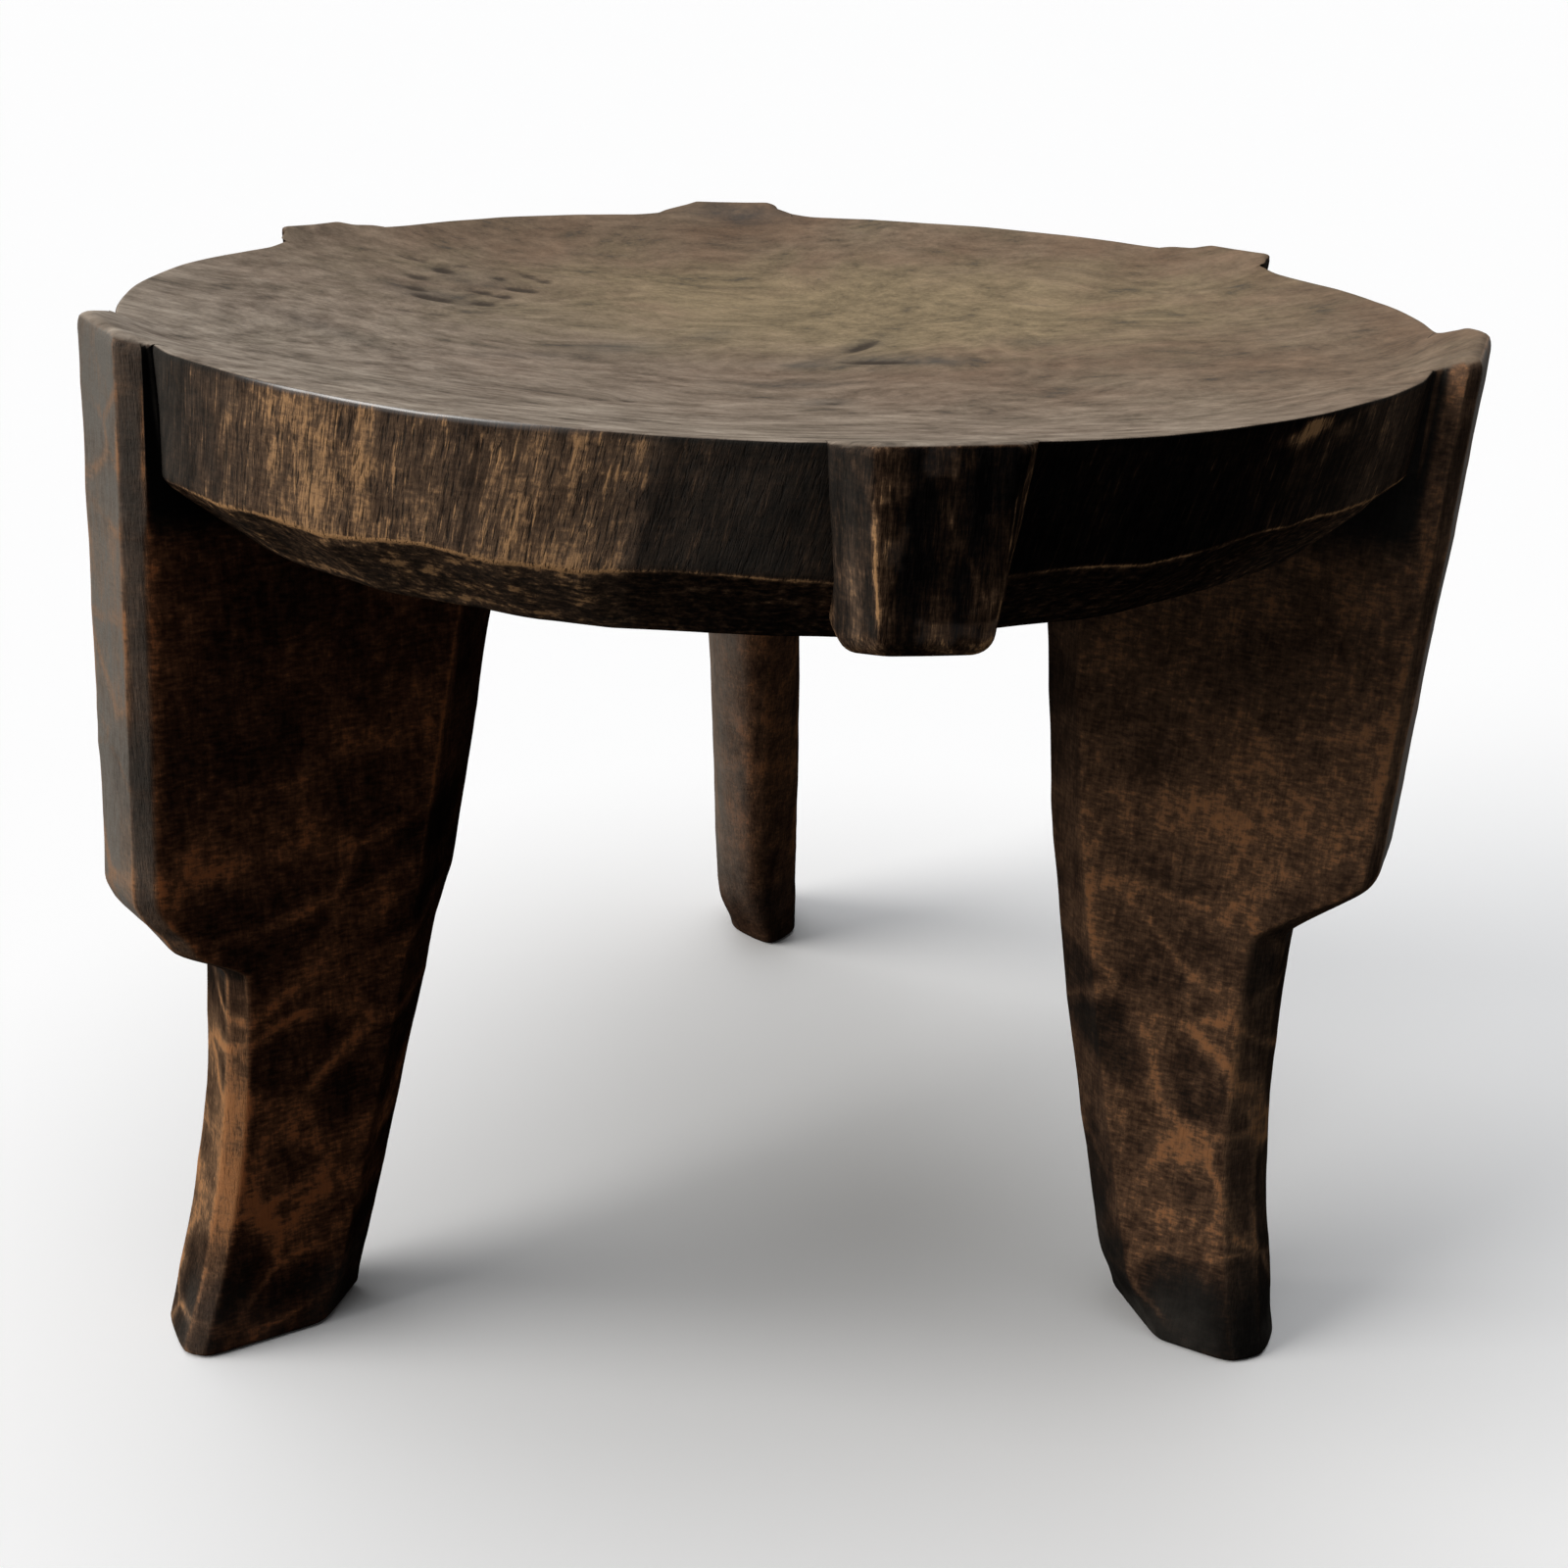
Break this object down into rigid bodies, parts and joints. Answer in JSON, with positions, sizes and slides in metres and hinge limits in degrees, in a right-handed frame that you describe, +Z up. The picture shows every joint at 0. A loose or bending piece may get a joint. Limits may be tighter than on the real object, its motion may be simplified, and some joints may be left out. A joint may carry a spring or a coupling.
{
  "type": "stool",
  "caption": "Low round stool in dark carved hardwood: a dished seat with a banded rim, stepped plank legs that lap the rim, and short rim lugs between them. For sitting on or as a side table.",
  "frame": {"origin": "on the floor, under the middle of the seat", "axes": "+Z up; -Y towards the front lug, between the two front legs; +X to the right, seen from the front"},
  "size_m": [0.3004, 0.3217, 0.2454],
  "materials": {
    "carved_wood": "dark stained and waxed, worn to golden brown along the edges"
  },
  "bodies": {
    "root": {"seat": "carved_wood", "left_leg": "carved_wood", "right_leg": "carved_wood", "back_leg": "carved_wood", "front_lug": "carved_wood", "back_right_lug": "carved_wood", "back_left_lug": "carved_wood"}
  },
  "joints": []
}
